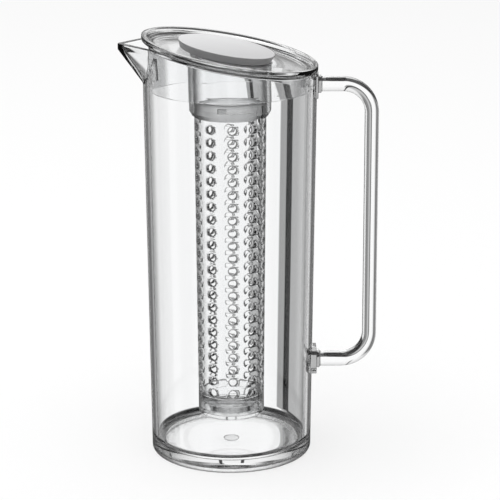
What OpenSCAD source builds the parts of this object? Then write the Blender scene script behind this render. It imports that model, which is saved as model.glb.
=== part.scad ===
// Fruit infuser pitcher: a tall clear jug with a slanted rim and a bonded bar handle,
// and a slanted lid whose neck carries a perforated infuser tube.
// +Z is up, the jug's axis is X = Y = 0, it stands on Z = 0, and the handle is at +X.

/* [Jug body] */
// Height of the rim on the jug's axis
rim_h = 276.8; // [200:1:340]
// Slant of the rim, high over the spout, in degrees
rim_slant = 10.15; // [2:0.5:14]
// Outer radius of the body at the rim's height
body_top_r = 58.2; // [52:0.5:66]
// How much narrower the body's radius is at the bottom
body_taper = 3.4; // [0:0.1:6]
// Thickness of the body's wall
body_wall = 3.4; // [2:0.2:3.6]
// Thickness of the floor, with the hollow under it
floor_t = 8; // [5:0.5:14]
// Radius of the outer corner round the bottom
foot_corner_r = 3; // [1:0.5:4]
// Radius of the inner corner round the floor
floor_corner_r = 6; // [2:0.5:10]
// Width of the ring that the jug stands on
foot_ring_w = 5.5; // [3:0.5:12]
// Depth of the hollow under the floor
hollow_d = 1.6; // [0.6:0.2:3]
// Radius of the moulding gate's boss under the floor
gate_r = 5; // [2:0.5:10]
// Height of the moulding gate's boss
gate_h = 0.8; // [0.2:0.1:1.5]

/* [Spout] */
// Reach of the spout's tip past the body's radius at the rim
spout_out = 16.2; // [12:0.2:24]
// Radius of the spout's nose at its tip
spout_nose_r = 2.4; // [1.5:0.1:4]
// Drop of the spout's lip below the rim's highest point
spout_lip_drop = 2.7; // [1:0.1:6]
// Height of the nose, from the lip down
spout_nose_h = 4; // [2:0.5:8]
// Height of the spout's sides where they meet the body
spout_side_h = 20; // [14:1:30]
// Height of the whole spout where its keel meets the body
spout_keel_h = 28.5; // [24:0.5:40]
// Radius of the keel's round root
spout_root_r = 24; // [12:1:34]
// Thickness of the spout's wall
spout_wall = 2.6; // [1.5:0.1:2.8]

/* [Handle] */
// Distance from the pads' flat faces to the middle of the upright
handle_reach = 36.2; // [32:0.2:55]
// How far the top arm's middle lies below the rim's height on the axis
handle_drop = 20.2; // [20.2:0.2:60]
// Height of the bottom arm's middle
handle_low_z = 63.5; // [40:1:110]
// Thickness of the bar, seen from the side
bar_t = 9.3; // [6:0.1:11]
// Width of the bar, seen from behind
bar_w = 11.5; // [8:0.5:15]
// Radius of the bar's long edges
bar_edge_r = 3; // [1:0.25:4]
// Radius of the bends, to the middle of the bar
bend_r = 19.4; // [12:0.2:24]
// Thickness of the collar at each root
collar_t = 2.2; // [1:0.2:5]
// How far the collar stands out round the bar
collar_lip = 1; // [0.5:0.1:3]
// How far the pads' flat faces lie past the body's radius at the rim
pad_out = 0.4; // [0.2:0.1:5]
// How far the pad stands out round the collar
pad_lip = 3.3; // [0.5:0.1:3.3]

/* [Lid] */
// How far the lid's flange stands out past the body's radius at the rim
flange_out = 0.5; // [0:0.1:3]
// Height of the flange
flange_h = 3.4; // [2:0.1:6]
// Depth of the dish
dish_d = 4; // [2:0.1:5]
// Width of the flange's flat edge round the dish
dish_edge_w = 1.7; // [1.5:0.1:4]
// Width of the dish's sloping wall
dish_slope_w = 5.5; // [4.6:0.1:8]
// Thickness of the dish's floor
dish_floor_t = 2.4; // [1.5:0.1:4]
// Gap round the skirt at its top, to the body's bore at the rim
skirt_top_gap = 0.4; // [0.3:0.1:1.2]
// How much narrower the skirt's radius is at its lower edge
skirt_taper = 1; // [0.6:0.1:4]
// Thickness of the skirt
skirt_t = 1.8; // [1.2:0.1:2.5]
// How far the skirt's lower edge hangs below the rim's height on the axis
skirt_hang = 22.1; // [18:0.1:40]
// Width of a pouring slot behind the spout
pour_slot_w = 4.6; // [2:0.2:6]
// Height of a pouring slot
pour_slot_h = 15; // [8:0.5:16]
// Height of the skirt's band under the pouring slots
pour_sill = 5; // [3:0.5:8]
// Number of pouring slots
pour_slots = 5; // [1:2:5]
// Angle from one pouring slot to the next, in degrees
pour_slot_step = 8.5; // [7:0.5:9]

/* [Neck] */
// Bore of the neck, as a radius
neck_bore_r = 24.7; // [22:0.1:28]
// Thickness of the neck's wall
neck_wall = 2.8; // [2.2:0.1:4]
// How far the neck hangs below the rim's height on the axis
neck_hang = 40.5; // [38:0.5:60]
// Height of the chamfer round the neck's lower end
neck_chamfer_h = 3.4; // [1:0.2:4]
// Width of the chamfer round the neck's lower end
neck_chamfer_w = 1.9; // [0.5:0.1:2]

/* [Neck cap] */
// How far the cap's disc stands out past the neck at its top
cap_out = 5.5; // [2.5:0.1:6]
// How much narrower the disc's radius is at its underside, which leaves a grip
cap_undercut = 2.3; // [0.5:0.1:2.5]
// Thickness of the cap's disc
cap_t = 5.2; // [4:0.1:8]
// Radius of the disc's upper edge
cap_edge_r = 0.9; // [0.3:0.1:1.5]
// How far the disc is set towards the spout
cap_offset = 3; // [0:0.5:3]
// Depth that the plug reaches into the neck
plug_depth = 5; // [3:0.5:12]
// Thickness of the plug's wall
plug_wall = 2; // [1.2:0.1:3]

/* [Infuser tube] */
// How far the tube's top rim hangs below the rim's height on the axis
tube_top_hang = 29.3; // [26:0.1:32]
// Gap round the tube's top inside the neck
tube_play = 0.35; // [0.3:0.05:0.6]
// How much narrower the tube's radius is at its lower end
tube_taper = 1.75; // [0.5:0.05:3]
// Thickness of the tube's wall
tube_wall = 2; // [1.4:0.1:2.4]
// Radius of a hole
hole_r = 2.5; // [1:0.1:3.4]
// Number of columns of holes
hole_columns = 10; // [6:1:10]
// Turn of the first column from the front, in degrees
hole_turn = 3; // [-18:1:18]
// Height from one row of holes to the next
hole_pitch = 8.79; // [7.5:0.1:12]
// Height of the lowest row's middle above the tube's lower end
hole_foot = 4; // [3.6:0.1:8]
// Least height of the tube above the top row's middle
hole_head = 17; // [16.5:0.5:40]

/* [Bayonet] */
// How far a lug stands out of the tube
lug_out = 1.5; // [0.8:0.1:1.5]
// Height of a lug
lug_h = 3; // [2:0.1:4]
// Angle that a lug covers, in degrees
lug_angle = 12; // [8:1:20]
// Height of a lug's middle above the neck's lower end
lug_z = 7.5; // [6:0.1:8.5]
// Number of lugs
lugs = 3; // [2:1:3]
// Angle of the tube's turn from locked to free, in degrees
twist = 60; // [30:5:60]
// Bearing of the first lug, in degrees from +X
lug_bearing = 258.5; // [240:0.5:290]

/* [End cap] */
// Height of the end cap
end_h = 14.7; // [12:0.1:20]
// Gap from the jug's floor to the end cap
end_floor_gap = 18.5; // [15:0.5:60]
// Thickness of the end cap's wall
end_wall = 1.5; // [1:0.1:1.8]
// Thickness of the end cap's floor
end_floor_t = 2.5; // [1.5:0.1:4]
// Radius of the end cap's lower edge
end_edge_r = 1.4; // [0.5:0.1:1.5]
// Length of the tube's spigot inside the end cap
spigot_l = 10.5; // [8:0.1:11]
// Thickness of the spigot's wall
spigot_wall = 1.7; // [1.2:0.1:2]
// How far the bead round the spigot stands out
bead_out = 0.25; // [0.1:0.05:0.25]
// Height of the bead
bead_h = 1.2; // [0.6:0.1:2]

/* [Fits] */
// Gap between the lid's flange and the jug's rim
seat_gap = 0.3; // [0.2:0.05:0.5]
// Gap round a piece that slides in or over another
slide_gap = 0.3; // [0.3:0.05:0.35]
// Overrun of every cut past the face that it opens
over = 1; // [0.5:0.5:2]

/* [Hidden] */
$fn = 96;

// Rise of the slanted planes for each unit towards the spout
rise = tan(rim_slant);
body_low_r = body_top_r - body_taper;
spout_reach = body_top_r + spout_out;
pad_x = body_top_r + pad_out;
handle_x = pad_x + handle_reach;
handle_top_z = rim_h - handle_drop;
flange_r = body_top_r + flange_out;
dish_top_r = flange_r - dish_edge_w;
dish_floor_r = dish_top_r - dish_slope_w;
skirt_top_r = body_top_r - body_wall - skirt_top_gap;
skirt_low_r = skirt_top_r - skirt_taper;
neck_r = neck_bore_r + neck_wall;
cap_r = neck_r + cap_out;
cap_under_r = cap_r - cap_undercut;
tube_top_r = neck_bore_r - tube_play;
tube_low_r = tube_top_r - tube_taper;
rim_high_z = rim_h + rise * body_top_r;
rim_low_z = rim_h - rise * body_top_r;
whole_h = rim_high_z + flange_h + cap_t;
whole_w = 4 * flange_r;

lip_z = rim_high_z - spout_lip_drop;
flange_under_z = rim_h + seat_gap;
flange_top_z = flange_under_z + flange_h;
dish_z = flange_top_z - dish_d;
skirt_z = rim_h - skirt_hang;
neck_z = rim_h - neck_hang;
cap_under_z = dish_z + seat_gap;
cap_top_z = cap_under_z + cap_t;
tube_top_z = rim_h - tube_top_hang;
end_z = floor_t + end_floor_gap;
end_top_z = end_z + end_h;
tube_z = end_top_z + seat_gap;
tube_l = tube_top_z - tube_z;
hole_rows = 1 + floor((tube_l - hole_foot - hole_head) / hole_pitch);
spigot_r = tube_low_r - end_wall - slide_gap;
collar_h = bar_t + 2 * collar_lip;
collar_w = bar_w + 2 * collar_lip;
pad_h = collar_h + 2 * pad_lip;
pad_w = collar_w + 2 * pad_lip;

// Outer radius of the body's wall at a height
function body_r(z) = body_low_r + (body_top_r - body_low_r) * z / rim_h;

// Outer radius of the infuser tube at a height
function tube_r(z) = tube_low_r + (tube_top_r - tube_low_r) * (z - tube_z) / tube_l;

// Everything above the slanted plane that crosses the jug's axis at height z
module above(z) {
    translate([0, 0, z])
        rotate([0, rim_slant, 0])
            translate([-whole_w / 2, -whole_w / 2, 0])
                cube([whole_w, whole_w, whole_h]);
}

// Tapered round body from z0 up to z1, with a round corner of radius r at its foot
module tapered(z0, z1, shrink, r) {
    r0 = body_r(z0 + r) - shrink;
    r1 = body_r(z1) - shrink;
    rotate_extrude() {
        polygon([[0, z0], [r0 - r, z0], [r0 - r, z0 + r], [r0, z0 + r], [r1, z1], [0, z1]]);
        intersection() {
            translate([r0 - r, z0 + r])
                circle(r);
            translate([r0 - r, z0])
                square([r, r]);
        }
    }
}

// The spout's beak: a hull of its nose, its sides and its round root, drawn in by inset
module beak(inset, top) {
    side_r = body_r(lip_z - spout_side_h) - body_wall / 2 - inset;
    nose_r = max(spout_nose_r - inset, spout_nose_r / 3);
    hull() {
        translate([inset + spout_nose_r - spout_reach, 0, lip_z - spout_nose_h + inset])
            cylinder(h = top - lip_z + spout_nose_h - inset, r = nose_r, $fn = 24);
        translate([0, 0, lip_z - spout_side_h + inset])
            cylinder(h = top - lip_z + spout_side_h - inset, r = side_r, $fn = 64);
        translate([spout_root_r - side_r, 0, lip_z - spout_keel_h + inset])
            cylinder(h = spout_keel_h - spout_side_h, r = spout_root_r, $fn = 40);
    }
}

// Flat plate with round corners, centred on the X axis, standing in the Y-Z plane
module plate(x0, x1, w, h, r) {
    translate([x0, 0, 0])
        rotate([90, 0, 90])
            linear_extrude(x1 - x0)
                rounded(w, h, r);
}

// Rectangle with round corners, centred on the origin
module rounded(w, h, r) {
    square([w - 2 * r, h], center = true);
    square([w, h - 2 * r], center = true);
    for (x = [-1, 1], y = [-1, 1])
        translate([x * (w / 2 - r), y * (h / 2 - r)])
            circle(r, $fn = 32);
}

// Clear jug with its spout, thick floor and two flat pads for the handle
module jug_body() {
    color([0.86, 0.9, 0.92, 0.5])
        difference() {
            union() {
                tapered(0, whole_h, 0, foot_corner_r);
                beak(0, whole_h);
                for (z = [handle_top_z, handle_low_z])
                    translate([0, 0, z])
                        plate(body_r(z) - 2 * body_wall, pad_x, pad_w, pad_h, pad_lip + collar_lip);
            }
            tapered(floor_t, whole_h + over, body_wall, floor_corner_r);
            beak(spout_wall, whole_h + over);
            above(rim_h);
            translate([-whole_w / 2, -whole_w / 2, lip_z])
                cube([whole_w, whole_w, whole_h]);
            foot_hollow();
        }
}

// Hollow under the floor, round the moulding gate's boss
module foot_hollow() {
    difference() {
        translate([0, 0, -over])
            cylinder(h = hollow_d + over, r = body_low_r - foot_corner_r - foot_ring_w);
        translate([0, 0, hollow_d - gate_h])
            cylinder(h = gate_h + over, r = gate_r);
    }
}

// One bend of the bar, from the arm at height z to the upright; dir is 1 at the top
module bend(z, dir) {
    translate([handle_x - bend_r, 0, z - dir * bend_r])
        rotate([90, 0, 0])
            mirror([0, dir < 0 ? 1 : 0, 0])
                rotate_extrude(angle = 90)
                    translate([bend_r, 0])
                        rounded(bar_t, bar_w, bar_edge_r);
}

// Solid D-shaped bar handle with a collar at each root
module handle() {
    color([0.84, 0.88, 0.9, 0.6]) {
        for (dir = [-1, 1]) {
            z = dir > 0 ? handle_top_z : handle_low_z;
            translate([0, 0, z]) {
                plate(pad_x, pad_x + collar_t, collar_w, collar_h, bar_edge_r + collar_lip / 2);
                plate(pad_x + collar_t, handle_x - bend_r, bar_w, bar_t, bar_edge_r);
            }
            bend(z, dir);
        }
        translate([handle_x, 0, handle_low_z + bend_r])
            linear_extrude(handle_top_z - handle_low_z - 2 * bend_r)
                rounded(bar_t, bar_w, bar_edge_r);
    }
}

// The skirt's outer cone, drawn in by inset, from its lower edge to above the rim
module skirt_cone(inset, low) {
    slope = (skirt_top_r - skirt_low_r) / (rim_high_z - skirt_z);
    top = whole_h;
    translate([0, 0, low])
        cylinder(h = top - low,
                 r1 = skirt_low_r - inset + slope * (low - skirt_z),
                 r2 = skirt_low_r - inset + slope * (top - skirt_z));
}

// One L-shaped slot inside the neck: a run for the twist and a way in from below
module lug_slot() {
    play = asin(slide_gap / neck_bore_r);
    low = neck_z + lug_z - lug_h / 2 - slide_gap;
    top = neck_z + lug_z + lug_h / 2 + slide_gap;
    out_r = tube_r(neck_z + lug_z) + lug_out + slide_gap;
    rotate([0, 0, -lug_angle / 2 - play])
        difference() {
            rotate_extrude(angle = twist + lug_angle + 2 * play)
                translate([neck_bore_r - over, neck_z - over])
                    square([out_r - neck_bore_r + over, top - neck_z + over]);
            rotate([0, 0, -play])
                rotate_extrude(angle = twist + play)
                    translate([neck_bore_r - 2 * over, neck_z - 2 * over])
                        square([out_r - neck_bore_r + 4 * over, low - neck_z + 2 * over]);
        }
}

// Slanted lid: flange, dish, skirt with pouring slots, and the infuser's neck
module lid() {
    color([0.82, 0.86, 0.9, 0.5])
        difference() {
            union() {
                difference() {
                    translate([0, 0, rim_low_z])
                        cylinder(h = whole_h - rim_low_z, r = flange_r);
                    below(flange_under_z);
                }
                difference() {
                    skirt_cone(0, skirt_z);
                    difference() {
                        skirt_cone(skirt_t, skirt_z - over);
                        above(dish_z - dish_floor_t);
                    }
                }
                neck();
            }
            above(flange_top_z);
            translate([0, 0, dish_z])
                rotate([0, rim_slant, 0])
                    cylinder(h = dish_d + over,
                             r1 = dish_floor_r,
                             r2 = dish_top_r + (dish_top_r - dish_floor_r) * over / dish_d);
            translate([0, 0, neck_z - over])
                cylinder(h = whole_h - neck_z, r = neck_bore_r);
            for (i = [0:lugs - 1])
                rotate([0, 0, lug_bearing + i * 360 / lugs])
                    lug_slot();
            for (i = [0:pour_slots - 1])
                rotate([0, 0, 180 + (i - (pour_slots - 1) / 2) * pour_slot_step])
                    translate([skirt_low_r - 2 * skirt_t, -pour_slot_w / 2, skirt_z + pour_sill])
                        cube([3 * skirt_t + over, pour_slot_w, pour_slot_h]);
        }
}

// Everything below the slanted plane that crosses the jug's axis at height z
module below(z) {
    translate([0, 0, z])
        rotate([0, rim_slant, 0])
            translate([-whole_w / 2, -whole_w / 2, -whole_h])
                cube([whole_w, whole_w, whole_h]);
}

// The neck's outside, from its chamfered lower end to the dish's floor
module neck() {
    difference() {
        union() {
            translate([0, 0, neck_z + neck_chamfer_h])
                cylinder(h = rim_high_z - neck_z - neck_chamfer_h, r = neck_r);
            translate([0, 0, neck_z])
                cylinder(h = neck_chamfer_h, r1 = neck_r - neck_chamfer_w, r2 = neck_r);
        }
        above(dish_z);
    }
}

// Slanted cap whose plug fills the neck's mouth
module neck_cap() {
    color([0.72, 0.73, 0.74])
        union() {
            translate([-cap_offset, 0, cap_under_z + rise * cap_offset])
                rotate([0, rim_slant, 0])
                    cap_disc();
            difference() {
                translate([0, 0, neck_z])
                    cylinder(h = whole_h - neck_z, r = neck_bore_r - slide_gap);
                above(cap_under_z + cap_t / 2);
                below(cap_under_z - plug_depth);
                difference() {
                    translate([0, 0, neck_z - over])
                        cylinder(h = whole_h - neck_z, r = neck_bore_r - slide_gap - plug_wall);
                    above(cap_under_z);
                }
            }
        }
}

// The cap's disc on its own plane, with an undercut side and a round upper edge
module cap_disc() {
    side_r = cap_under_r + (cap_r - cap_under_r) * (cap_t - cap_edge_r) / cap_t;
    rotate_extrude() {
        polygon([[0, 0], [cap_under_r, 0], [side_r, cap_t - cap_edge_r],
                 [side_r - cap_edge_r, cap_t], [0, cap_t]]);
        translate([side_r - cap_edge_r, cap_t - cap_edge_r])
            circle(cap_edge_r, $fn = 32);
    }
}

// Perforated tube with bayonet lugs at its top and an open spigot at its lower end
module infuser_tube() {
    color([0.84, 0.88, 0.9, 0.5])
        difference() {
            union() {
                translate([0, 0, tube_z])
                    cylinder(h = tube_l, r1 = tube_low_r, r2 = tube_top_r);
                translate([0, 0, tube_z - spigot_l])
                    cylinder(h = spigot_l + over, r = spigot_r);
                translate([0, 0, tube_z - (spigot_l + bead_h) / 2])
                    cylinder(h = bead_h, r = spigot_r + bead_out);
                for (i = [0:lugs - 1])
                    rotate([0, 0, lug_bearing + i * 360 / lugs])
                        lug();
            }
            translate([0, 0, tube_z + tube_wall])
                cylinder(h = tube_l,
                         r1 = tube_low_r - tube_wall,
                         r2 = tube_low_r - tube_wall + (tube_top_r - tube_low_r));
            translate([0, 0, tube_z - spigot_l - over])
                cylinder(h = spigot_l + tube_wall + 2 * over, r = spigot_r - spigot_wall);
            holes();
        }
}

// One bayonet lug on the tube
module lug() {
    r = tube_r(neck_z + lug_z);
    rotate([0, 0, -lug_angle / 2])
        rotate_extrude(angle = lug_angle)
            translate([r - tube_wall / 2, neck_z + lug_z - lug_h / 2])
                square([lug_out + tube_wall / 2, lug_h]);
}

// Straight round holes through the tube's wall, in columns and rows
module holes() {
    start_r = tube_low_r - tube_wall - 2 * over;
    for (row = [0:hole_rows - 1], column = [0:hole_columns - 1])
        translate([0, 0, tube_z + hole_foot + row * hole_pitch])
            rotate([90, 0, hole_turn + column * 360 / hole_columns])
                translate([0, 0, start_r])
                    cylinder(h = tube_top_r + over - start_r, r = hole_r);
}

// Cup that closes the tube's lower end
module infuser_end_cap() {
    color([0.8, 0.84, 0.88, 0.6])
        difference() {
            rotate_extrude() {
                polygon([[0, end_z], [tube_low_r - end_edge_r, end_z],
                         [tube_low_r, end_z + end_edge_r], [tube_low_r, end_top_z],
                         [0, end_top_z]]);
                translate([tube_low_r - end_edge_r, end_z + end_edge_r])
                    circle(end_edge_r, $fn = 32);
            }
            translate([0, 0, end_z + end_floor_t])
                cylinder(h = end_h, r = tube_low_r - end_wall);
        }
}

jug_body();
handle();
lid();
neck_cap();
infuser_tube();
infuser_end_cap();
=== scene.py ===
"""Looks of the fruit infuser pitcher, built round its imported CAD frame.

Every piece is clear moulded plastic but for the grey cap, so each one is worked out as a fine
smooth surface that stands for its CAD node: light bends through it, and flat facets would show at
once. All sizes are in metres, in the CAD frame: Z up, the handle at +X, the spout at -X, the foot
on Z = 0.
"""

import logging
import math
from dataclasses import dataclass
from enum import Enum
from functools import cached_property
from typing import Any, Optional, Sequence, Union

import bmesh
import bpy
import numpy as np
from mathutils import Matrix, Vector


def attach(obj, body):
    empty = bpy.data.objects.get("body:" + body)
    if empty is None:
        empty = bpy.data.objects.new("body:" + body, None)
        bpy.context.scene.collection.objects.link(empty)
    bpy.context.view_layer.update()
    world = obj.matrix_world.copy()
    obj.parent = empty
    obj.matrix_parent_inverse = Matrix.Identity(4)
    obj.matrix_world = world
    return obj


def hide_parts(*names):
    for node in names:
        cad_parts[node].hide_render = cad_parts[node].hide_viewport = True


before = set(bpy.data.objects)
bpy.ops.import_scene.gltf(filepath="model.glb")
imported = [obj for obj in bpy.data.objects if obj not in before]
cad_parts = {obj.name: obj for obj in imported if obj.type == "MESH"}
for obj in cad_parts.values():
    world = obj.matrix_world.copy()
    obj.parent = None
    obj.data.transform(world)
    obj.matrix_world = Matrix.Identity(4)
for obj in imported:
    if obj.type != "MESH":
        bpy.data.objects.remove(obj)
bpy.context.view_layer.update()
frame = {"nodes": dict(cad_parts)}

LOG = logging.getLogger("pitcher")

# The rim's slant: its angle, and how much height it loses for each metre along +X.
SLANT = math.radians(10.15)
RISE = math.tan(SLANT)
FULL_TURN = 2 * math.pi

# Sharper edges than this stay hard, and points nearer than this are merged.
HARD_EDGE = math.radians(30.0)
DOUBLES = 2e-6

# Width of the soft edge of a darker place in a finish.
SOFT_EDGE = 0.0004

# Places that several pieces or finishes share. Bearings are in degrees from +X.
FLOOR_TOP = 0.008
PAD_FACE = 0.0586
PAD_HEIGHTS = (0.2566, 0.0635)
LUG_BEARINGS = (258.5, 378.5, 498.5)

Array = np.ndarray
Pair = tuple[float, float]
Triple = tuple[float, float, float]
Number = Union[float, "Value"]
Settings = Optional[dict[str, Any]]
Sockets = Optional[dict[Union[str, int], Any]]


class Joining(Enum):
    """How a piece's tools change it."""

    CUT = "DIFFERENCE"
    FUSE = "UNION"


# ---- shader maths ----


class Value:
    """One output socket of a node tree, with arithmetic that adds Math nodes."""

    def __init__(self, graph: "Graph", socket: bpy.types.NodeSocket) -> None:
        """Keeps the graph and the socket."""
        self.graph, self.socket = graph, socket

    def __add__(self, other: Number) -> "Value":
        """Sum."""
        return self.graph.math("ADD", self, other)

    def __radd__(self, other: float) -> "Value":
        """Sum with a number on the left."""
        return self.graph.math("ADD", other, self)

    def __sub__(self, other: Number) -> "Value":
        """Difference."""
        return self.graph.math("SUBTRACT", self, other)

    def __rsub__(self, other: float) -> "Value":
        """Difference from a number."""
        return self.graph.math("SUBTRACT", other, self)

    def __mul__(self, other: Number) -> "Value":
        """Product."""
        return self.graph.math("MULTIPLY", self, other)

    def __rmul__(self, other: float) -> "Value":
        """Product with a number on the left."""
        return self.graph.math("MULTIPLY", other, self)

    def __truediv__(self, other: Number) -> "Value":
        """Quotient."""
        return self.graph.math("DIVIDE", self, other)

    def __abs__(self) -> "Value":
        """The number without its sign."""
        return self.graph.math("ABSOLUTE", self)

    def at_least(self, other: Number) -> "Value":
        """The larger of the two."""
        return self.graph.math("MAXIMUM", self, other)

    def wrapped(self, half: float) -> "Value":
        """The number wrapped round into -half to half."""
        return self.graph.math("WRAP", self, half, -half)

    def mixed(self, other: Number, share: "Value") -> "Value":
        """This number where the share is 0, and the other where it is 1."""
        return self * (1.0 - share) + other * share

    def ramp(
        self, low: float, high: float, to_low: float = 0.0, to_high: float = 1.0
    ) -> "Value":
        """The number clamped from low..high onto to_low..to_high."""
        span = {"From Min": low, "From Max": high, "To Min": to_low, "To Max": to_high}
        return self.graph.value("ShaderNodeMapRange", {"clamp": True}, {"Value": self, **span})

    def beyond(self, edge: float, soft: float = SOFT_EDGE) -> "Value":
        """0 up to an edge and 1 beyond it, with a soft step between."""
        return self.ramp(edge, edge + soft)

    def within(self, edge: float, soft: float = SOFT_EDGE) -> "Value":
        """1 up to an edge and 0 beyond it, with a soft step between."""
        return self.ramp(edge, edge + soft, 1.0, 0.0)


class Graph:
    """The node tree of one material or of the world."""

    def __init__(self, tree: bpy.types.NodeTree) -> None:
        """Empties the tree."""
        self.tree = tree
        tree.nodes.clear()

    def add(self, kind: str, settings: Settings = None, sockets: Sockets = None) -> bpy.types.Node:
        """Adds a node.

        Args:
            kind: the node's type.
            settings: its properties, and under "stops" a ramp's (place, grey) pairs.
            sockets: a number, colour or Value for each input that isn't left alone.

        Returns:
            The node.
        """
        node = self.tree.nodes.new(kind)
        for name, setting in (settings or {}).items():
            if name == "stops":
                self._set_stops(node.color_ramp, setting)
            else:
                setattr(node, name, setting)
        for name, given in (sockets or {}).items():
            if isinstance(given, Value):
                self.tree.links.new(given.socket, node.inputs[name])
            else:
                node.inputs[name].default_value = given
        return node

    @staticmethod
    def _set_stops(ramp: bpy.types.ColorRamp, stops: Sequence[Pair]) -> None:
        """Fills a ramp with grey stops.

        Args:
            ramp: the ramp.
            stops: (place, grey) pairs in rising order.
        """
        while len(ramp.elements) > 1:
            ramp.elements.remove(ramp.elements[-1])
        for index, (place, grey) in enumerate(stops):
            element = ramp.elements[0] if index == 0 else ramp.elements.new(place)
            element.position = place
            element.color = (grey, grey, grey, 1.0)

    def value(
        self,
        kind: str,
        settings: Settings = None,
        sockets: Sockets = None,
        output: Union[str, int] = 0,
    ) -> Value:
        """One output of a new node, made as add makes it."""
        return Value(self, self.add(kind, settings, sockets).outputs[output])

    def math(self, operation: str, *numbers: Number) -> Value:
        """A Math node's result, its inputs given in order."""
        return self.value("ShaderNodeMath", {"operation": operation}, dict(enumerate(numbers)))

    def vector(self, operation: str, *vectors: Any) -> Value:
        """A Vector Math node's number, its inputs given in order."""
        settings = {"operation": operation}
        return self.value("ShaderNodeVectorMath", settings, dict(enumerate(vectors)), "Value")

    def axes(self, place: Value) -> tuple[Value, ...]:
        """The x, y and z of a vector."""
        node = self.add("ShaderNodeSeparateXYZ", None, {0: place})
        return tuple(Value(self, output) for output in node.outputs)

    def colour(self, red: Number, green: Number, blue: Number) -> Value:
        """A colour from its parts."""
        return self.value("ShaderNodeCombineColor", None, {0: red, 1: green, 2: blue})

    def relief(self, height: Value, strength: float, distance: float) -> Value:
        """The normal of a bumpy surface."""
        sockets = {"Strength": strength, "Distance": distance, "Height": height}
        return self.value("ShaderNodeBump", None, sockets, "Normal")

    def ray(self, kind: str) -> Value:
        """1 for rays of one kind, such as Camera, and 0 for the others."""
        return self.value("ShaderNodeLightPath", output=f"Is {kind} Ray")


class Spot:
    """The shaded point as a finish reads it. Each part adds its nodes when it is first read."""

    def __init__(self, graph: Graph) -> None:
        """Starts from the point's Object coordinates."""
        self.graph = graph
        self.place = graph.value("ShaderNodeTexCoord", output="Object")

    @cached_property
    def axes(self) -> tuple[Value, ...]:
        """Its x, y and z."""
        return self.graph.axes(self.place)

    @cached_property
    def away(self) -> Value:
        """Its distance from the jug's axis: the square root of x^2 + y^2."""
        return self.graph.vector("LENGTH", self.stretched((1.0, 1.0, 0.0)))

    @cached_property
    def crossing(self) -> Value:
        """Where the slanted plane through it crosses the axis: z + rise * x."""
        return self.axes[2] + RISE * self.axes[0]

    @cached_property
    def facing(self) -> Value:
        """How far from face on it is seen, from 0 to 1."""
        return self.graph.value("ShaderNodeLayerWeight", None, {"Blend": 0.5}, "Facing")

    def stretched(self, scale: Triple) -> Value:
        """Its place, scaled along each axis."""
        return self.graph.value("ShaderNodeMapping", None, {"Vector": self.place, "Scale": scale})

    def noise(self, scale: float, detail: float, stretch: Optional[Triple] = None) -> Value:
        """Soft noise from 0 to 1.

        Args:
            scale: how fine it is.
            detail: how many finer layers it has.
            stretch: its scale along each axis, if that isn't 1.

        Returns:
            The noise.
        """
        place = self.stretched(stretch) if stretch else self.place
        sockets = {"Vector": place, "Scale": scale, "Detail": detail}
        return self.graph.value("ShaderNodeTexNoise", None, sockets)


# ---- finishes ----


@dataclass(frozen=True)
class Finish:
    """A named material, whose surface its own class works out.

    Attributes:
        name: the material's name.
    """

    name: str

    def surface(self, graph: Graph, spot: Spot) -> Value:
        """The shader of the surface."""
        raise NotImplementedError

    def build(self) -> bpy.types.Material:
        """Builds the material.

        Returns:
            The material with its surface on its output.
        """
        material = bpy.data.materials.new(self.name)
        material.use_nodes = True
        graph = Graph(material.node_tree)
        surface = self.surface(graph, Spot(graph))
        graph.add("ShaderNodeOutputMaterial", None, {"Surface": surface})
        return material


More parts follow.
